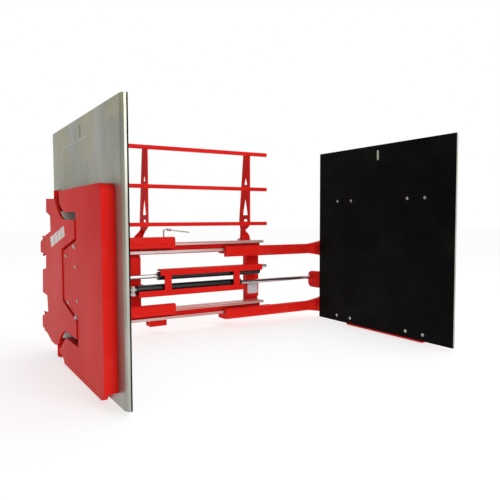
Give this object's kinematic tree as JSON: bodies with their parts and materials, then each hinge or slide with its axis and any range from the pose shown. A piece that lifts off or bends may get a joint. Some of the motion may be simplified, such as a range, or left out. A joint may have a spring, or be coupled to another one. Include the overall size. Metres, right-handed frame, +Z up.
{
  "type": "forklift carton clamp attachment",
  "caption": "Lift truck attachment that squeezes cartons or appliances between two large rubber-faced pads on hydraulically driven sliding arms, with a load backrest.",
  "frame": {"origin": "on the centre line of the flat rear face that rests against the truck's carriage, level with the top edge of the carriage's upper bar", "axes": "+X along the rails towards the right arm seen from behind the load, -Y out towards the load, +Z up"},
  "size_m": [2.034, 1.445, 1.218],
  "materials": {
    "red_paint": "gloss red machine enamel",
    "rail_steel": "red enamel worn to bare light steel on the sliding faces",
    "pad_aluminium": "mill finish, dull and streaked",
    "pad_rubber": "matt black vulcanised sheet",
    "chrome_rod": "ground hard chrome",
    "black_paint": "satin black",
    "zinc_steel": "zinc plated",
    "slide_plastic": "black bearing plastic"
  },
  "bodies": {
    "frame": {"backrest_bolts": "zinc_steel", "backrest_bottom_bar": "red_paint", "backrest_feet": "red_paint", "backrest_middle_bar": "red_paint", "backrest_top_bar": "red_paint", "barrel_end_caps": "black_paint", "cradle_bottom_bar": "red_paint", "cradle_straps": "red_paint", "cradle_top_bar": "red_paint", "cylinder_anchors": "red_paint", "gland_nuts": "black_paint", "left_backrest_post": "red_paint", "left_upright": "red_paint", "lower_barrel": "black_paint", "lower_carriage_bar": "red_paint", "lower_hook_bolts": "zinc_steel", "lower_hooks": "red_paint", "lower_rail": "rail_steel", "name_plate": "pad_aluminium", "port_fittings": "zinc_steel", "right_backrest_post": "red_paint", "right_upright": "red_paint", "supply_block": "zinc_steel", "supply_nuts": "zinc_steel", "supply_tube": "zinc_steel", "upper_barrel": "black_paint", "upper_carriage_bar": "red_paint", "upper_hooks": "red_paint", "upper_rail": "rail_steel"},
    "left_arm": {"left_link_plate": "red_paint", "left_lower_beam": "red_paint", "left_piston": "zinc_steel", "left_pivot_pins": "zinc_steel", "left_rod": "chrome_rod", "left_rod_lug": "red_paint", "left_rod_nut": "zinc_steel", "left_slide_liners": "slide_plastic", "left_upper_beam": "red_paint"},
    "right_arm": {"right_link_plate": "red_paint", "right_lower_beam": "red_paint", "right_piston": "zinc_steel", "right_pivot_pins": "zinc_steel", "right_rod": "chrome_rod", "right_rod_lug": "red_paint", "right_rod_nut": "zinc_steel", "right_slide_liners": "slide_plastic", "right_upper_beam": "red_paint"},
    "left_pad": {"left_housing_bolts": "zinc_steel", "left_pad_bar": "red_paint", "left_pad_housing": "red_paint", "left_pad_plate": "pad_aluminium", "left_pad_rubber": "pad_rubber", "left_pad_screws": "zinc_steel"},
    "right_pad": {"right_housing_bolts": "zinc_steel", "right_pad_bar": "red_paint", "right_pad_housing": "red_paint", "right_pad_plate": "pad_aluminium", "right_pad_rubber": "pad_rubber", "right_pad_screws": "zinc_steel"}
  },
  "joints": [
    {"name": "left_arm_slide", "type": "slide", "parent": "frame", "child": "left_arm", "axis": [1, 0, 0], "range_m": [0, 0.48]},
    {"name": "right_arm_slide", "type": "slide", "parent": "frame", "child": "right_arm", "axis": [-1, 0, 0], "range_m": [0, 0.48]},
    {"name": "left_pad_swivel", "type": "hinge", "parent": "left_arm", "child": "left_pad", "pos_m": [-0.977, -0.434, 0.288], "axis": [0, 0, 1], "range_deg": [-1.2, 1.2]},
    {"name": "right_pad_swivel", "type": "hinge", "parent": "right_arm", "child": "right_pad", "pos_m": [0.977, -0.434, 0.288], "axis": [0, 0, 1], "range_deg": [-1.2, 1.2]}
  ],
  "couplings": [
    {"joint": "right_arm_slide", "follows": "left_arm_slide", "ratio": 1}
  ]
}
